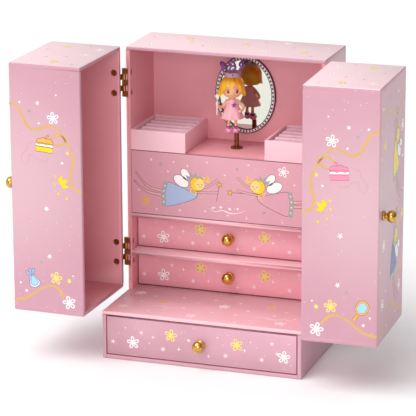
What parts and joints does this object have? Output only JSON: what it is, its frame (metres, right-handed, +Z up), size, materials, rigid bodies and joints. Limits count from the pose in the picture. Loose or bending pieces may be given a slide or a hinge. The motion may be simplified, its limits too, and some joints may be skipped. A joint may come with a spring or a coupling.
{
  "type": "musical jewellery box",
  "caption": "Pink wardrobe-shaped musical jewellery box: two deep hinged wings, drawers, ring-roll trays, oval mirror and a doll that turns on a spindle as the wound movement plays.",
  "frame": {"origin": "centre of the footprint of the underside, on the surface that the box stands on", "axes": "+Z up, +X to the right of someone facing the box, the front faces -Y"},
  "size_m": [0.3852, 0.1867, 0.292],
  "materials": {
    "pink_board": "gloss paper-covered board",
    "pale_board": "gloss paper-covered board",
    "stage_board": "matt paper-covered board",
    "drawer_front_board": "gloss paper-covered board",
    "drawer_lining_board": "matt paper-covered board",
    "tray_board": "matt paper-covered board",
    "ring_roll_velvet": "soft short pile",
    "mirror_frame_print": "printed gloss",
    "mirror_glass": "polished",
    "hinge_brass": "plated",
    "knob_brass": "polished",
    "zinc_screw": "zinc plated",
    "movement_zinc": "die-cast",
    "comb_steel": "ground",
    "movement_brass": "turned",
    "spindle_brass": "lacquered",
    "hook_rail_plastic": "moulded",
    "doll_skin": "painted moulding",
    "doll_dress": "painted moulding",
    "doll_hair": "painted moulding",
    "doll_crown": "painted moulding"
  },
  "bodies": {
    "cabinet": {"left_side_panel": "pink_board", "right_side_panel": "pink_board", "top_panel": "pale_board", "back_panel": "stage_board", "floor_panel": "pink_board", "deck_panel": "pink_board", "drawer_shelves": "pink_board", "stage_panel": "stage_board", "fascia_panel": "pink_board", "ring_trays": "tray_board", "ring_rolls": "ring_roll_velvet", "mirror_frame": "mirror_frame_print", "mirror_glass": "mirror_glass", "hinge_cabinet_leaves": "hinge_brass", "hinge_pins": "hinge_brass", "hinge_cabinet_screws": "hinge_brass", "movement_bedplate": "movement_zinc", "movement_comb": "comb_steel", "movement_screws": "zinc_screw", "spindle_bush": "spindle_brass"},
    "left_wing": {"left_wing_outer_wall": "pink_board", "left_wing_front_panel": "pink_board", "left_wing_meeting_wall": "pink_board", "left_wing_end_panels": "pale_board", "left_wing_knob": "knob_brass", "left_wing_knob_screw": "zinc_screw", "left_wing_hinge_leaves": "hinge_brass", "left_wing_hinge_screws": "hinge_brass", "left_wing_hooks": "hook_rail_plastic"},
    "right_wing": {"right_wing_outer_wall": "pink_board", "right_wing_front_panel": "pink_board", "right_wing_meeting_wall": "pink_board", "right_wing_end_panels": "pale_board", "right_wing_knob": "knob_brass", "right_wing_knob_screw": "zinc_screw", "right_wing_hinge_leaves": "hinge_brass", "right_wing_hinge_screws": "hinge_brass", "right_wing_hooks": "hook_rail_plastic"},
    "upper_drawer": {"upper_drawer_box": "drawer_lining_board", "upper_drawer_front": "drawer_front_board", "upper_drawer_knob": "knob_brass", "upper_drawer_knob_screw": "zinc_screw"},
    "middle_drawer": {"middle_drawer_box": "drawer_lining_board", "middle_drawer_front": "drawer_front_board", "middle_drawer_knob": "knob_brass", "middle_drawer_knob_screw": "zinc_screw"},
    "base_drawer": {"base_drawer_box": "drawer_lining_board", "base_drawer_front": "drawer_front_board", "base_drawer_knob": "knob_brass", "base_drawer_knob_screw": "zinc_screw"},
    "winder": {"spring_barrel": "movement_brass", "winding_key": "movement_brass"},
    "cylinder": {"music_cylinder": "movement_brass"},
    "fly": {"governor_fly": "movement_brass"},
    "doll": {"doll_spindle": "spindle_brass", "doll_legs": "doll_skin", "doll_dress": "doll_dress", "doll_head": "doll_hair", "doll_crown": "doll_crown"}
  },
  "joints": [
    {"name": "left_wing_hinge", "type": "hinge", "parent": "cabinet", "child": "left_wing", "pos_m": [-0.1025, 0.00285, 0.171], "axis": [0, 0, -1], "range_deg": [-91.5, 88.5]},
    {"name": "right_wing_hinge", "type": "hinge", "parent": "cabinet", "child": "right_wing", "pos_m": [0.1025, 0.00285, 0.171], "axis": [0, 0, 1], "range_deg": [-91.5, 88.5]},
    {"name": "upper_drawer_slide", "type": "slide", "parent": "cabinet", "child": "upper_drawer", "axis": [0, -1, 0], "range_m": [0, 0.04]},
    {"name": "middle_drawer_slide", "type": "slide", "parent": "cabinet", "child": "middle_drawer", "axis": [0, -1, 0], "range_m": [0, 0.04]},
    {"name": "base_drawer_slide", "type": "slide", "parent": "cabinet", "child": "base_drawer", "axis": [0, -1, 0], "range_m": [0, 0.1]},
    {"name": "key_turn", "type": "hinge", "parent": "cabinet", "child": "winder", "pos_m": [0, 0.06, 0.15], "axis": [0, 1, 0], "continuous": true},
    {"name": "cylinder_turn", "type": "hinge", "parent": "cabinet", "child": "cylinder", "pos_m": [0.031, 0.0385, 0.15], "axis": [1, 0, 0], "continuous": true},
    {"name": "fly_turn", "type": "hinge", "parent": "cabinet", "child": "fly", "pos_m": [0.052, 0.0385, 0.165], "axis": [1, 0, 0], "continuous": true},
    {"name": "doll_turn", "type": "hinge", "parent": "cabinet", "child": "doll", "pos_m": [0, 0.0385, 0.2], "axis": [0, 0, 1], "continuous": true}
  ],
  "couplings": [
    {"joint": "cylinder_turn", "follows": "key_turn", "ratio": -3},
    {"joint": "fly_turn", "follows": "key_turn", "ratio": 12},
    {"joint": "doll_turn", "follows": "key_turn", "ratio": -3}
  ]
}
